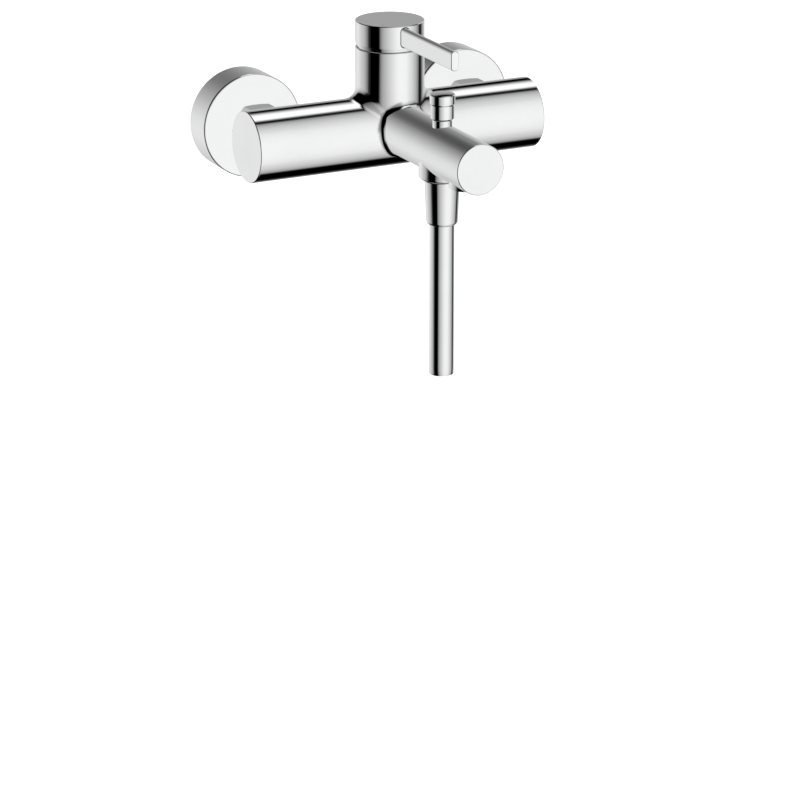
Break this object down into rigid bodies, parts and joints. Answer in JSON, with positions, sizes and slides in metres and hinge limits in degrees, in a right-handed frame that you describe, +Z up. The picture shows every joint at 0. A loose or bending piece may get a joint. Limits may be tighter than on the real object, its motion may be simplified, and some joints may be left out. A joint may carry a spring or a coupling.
{
  "type": "wall mounted bath mixer",
  "caption": "Wall mounted bath mixer: round barrel body, upright neck with a lever handle, straight spout with a pull-up diverter knob, hose outlet and round wall covers.",
  "frame": {"origin": "on the wall plane, midway between the two inlets, level with the barrel's axis", "axes": "+X to the right seen from the front, +Y into the wall, +Z up; the spout and lever point along -Y"},
  "size_m": [0.2176, 0.2105, 0.2131],
  "materials": {
    "chrome": "mirror polished",
    "chrome_inlet": "polished",
    "hose_chrome": "mirror polished, smooth",
    "brass": "machined",
    "steel": "machined",
    "strainer_steel": "perforated",
    "seal_rubber": "matt",
    "liner_rubber": "matt",
    "ceramic": "ground and lapped",
    "cartridge_plastic": "moulded",
    "carrier_plastic": "moulded",
    "ring_plastic": "moulded",
    "cover_plastic": "glossy",
    "aerator_plastic": "moulded"
  },
  "bodies": {
    "mixer": {"mixer_body": "chrome", "left_end_cap": "chrome", "right_end_cap": "chrome", "left_inlet_tail": "chrome_inlet", "right_inlet_tail": "chrome_inlet", "left_union_nut": "chrome", "right_union_nut": "chrome", "left_union_seal": "seal_rubber", "right_union_seal": "seal_rubber", "left_strainer": "strainer_steel", "right_strainer": "strainer_steel", "left_wall_union": "brass", "right_wall_union": "brass", "left_escutcheon": "chrome", "right_escutcheon": "chrome", "base_gasket": "seal_rubber", "cartridge_base": "cartridge_plastic", "fixed_disc": "ceramic", "cartridge_housing": "cartridge_plastic", "cartridge_nut": "brass", "dome_ring": "ring_plastic", "spout_tube": "chrome", "spout_end_cap": "chrome", "aerator_seal": "seal_rubber", "aerator_housing": "chrome", "aerator_insert": "aerator_plastic", "diverter_bush": "chrome", "rod_seal": "seal_rubber", "diverter_spring": "steel", "shower_outlet": "brass", "hose_washer": "seal_rubber", "hose_nut": "chrome", "hose_ferrule": "brass", "hose_liner": "liner_rubber", "hose_sheath": "hose_chrome"},
    "rotor": {"cartridge_rotor": "carrier_plastic", "pivot_pin": "steel"},
    "handle": {"lever_stem": "brass", "handle_cap": "chrome", "lever_bar": "chrome", "grub_screw": "steel", "screw_cover": "cover_plastic"},
    "ceramic": {"moving_disc": "ceramic", "disc_carrier": "carrier_plastic"},
    "diverter": {"diverter_rod": "brass", "diverter_valve": "seal_rubber", "diverter_knob": "chrome", "knob_head": "chrome"}
  },
  "joints": [
    {"name": "temperature_swivel", "type": "hinge", "parent": "mixer", "child": "rotor", "pos_m": [0, -0.069, 0.048], "axis": [0, 0, 1], "range_deg": [-50, 50]},
    {"name": "lever_lift", "type": "hinge", "parent": "rotor", "child": "handle", "pos_m": [0, -0.069, 0.048], "axis": [-1, 0, 0], "range_deg": [0, 15]},
    {"name": "ceramic_slide", "type": "slide", "parent": "rotor", "child": "ceramic", "axis": [0, -1, 0], "range_m": [0, 0.0037]},
    {"name": "diverter_lift", "type": "slide", "parent": "mixer", "child": "diverter", "axis": [0, 0, 1], "range_m": [0, 0.008], "stiffness_N_per_m": 60, "springref_m": -0.02, "deforming": ["diverter_spring"]}
  ],
  "couplings": [
    {"joint": "ceramic_slide", "follows": "lever_lift", "m_per_rad": 0.014}
  ]
}
